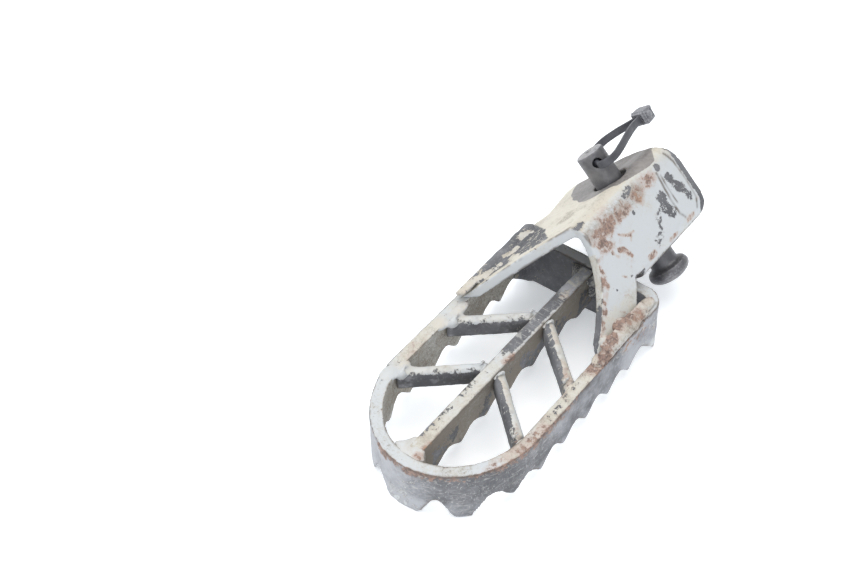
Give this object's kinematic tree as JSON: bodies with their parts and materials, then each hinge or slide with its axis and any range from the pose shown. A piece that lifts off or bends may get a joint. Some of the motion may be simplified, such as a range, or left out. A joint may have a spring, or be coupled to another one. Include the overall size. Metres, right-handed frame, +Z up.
{
  "type": "motorcycle foot peg",
  "caption": "Serrated oval foot peg with centre rib and diagonal braces on a folded bracket with a headed pivot pin held by a cable tie.",
  "frame": {"origin": "middle of the footprint on the ground, with the peg lying upside down on its nose teeth and the rear end of its tread", "axes": "+X from the tip of the tread to the pivot end, +Y towards the side where the pin's cross-drilled end stands up, +Z up; in use on the motorcycle the peg is turned over, so the teeth face up"},
  "size_m": [0.1402, 0.051, 0.0447],
  "materials": {
    "chipped_white_paint": "chipped off-white paint with grey primer and rust showing along the edges",
    "painted_weld": "lumpy weld under cream-stained white paint",
    "dark_steel": "bare dark steel, worn and slightly brown",
    "dark_nylon": "satin dark grey moulded nylon"
  },
  "bodies": {
    "peg": {"tread_loop": "chipped_white_paint", "centre_rib": "chipped_white_paint", "brace_front_left": "chipped_white_paint", "brace_rear_left": "chipped_white_paint", "brace_front_right": "chipped_white_paint", "brace_rear_right": "chipped_white_paint", "mount_bracket": "chipped_white_paint", "weld_front_brace_tread_left": "painted_weld", "weld_front_brace_rib_left": "painted_weld", "weld_rear_brace_tread_left": "painted_weld", "weld_rear_brace_rib_left": "painted_weld", "weld_nose_left": "painted_weld", "weld_rear_left": "painted_weld", "weld_front_brace_tread_right": "painted_weld", "weld_front_brace_rib_right": "painted_weld", "weld_rear_brace_tread_right": "painted_weld", "weld_rear_brace_rib_right": "painted_weld", "weld_nose_right": "painted_weld", "weld_rear_right": "painted_weld", "weld_arm_left": "painted_weld", "weld_arm_right": "painted_weld"},
    "pin": {"pivot_pin": "dark_steel"},
    "tie": {"cable_tie": "dark_nylon"}
  },
  "joints": [
    {"name": "pin_turn", "type": "hinge", "parent": "peg", "child": "pin", "pos_m": [0.04065, 0.00681, 0.03441], "axis": [0, 0.7071, 0.7071], "continuous": true},
    {"name": "tie_swing", "type": "hinge", "parent": "pin", "child": "tie", "pos_m": [0.04065, 0.0119, 0.0395], "axis": [-0.6, -0.5657, 0.5657], "range_deg": [-8, 120]}
  ]
}
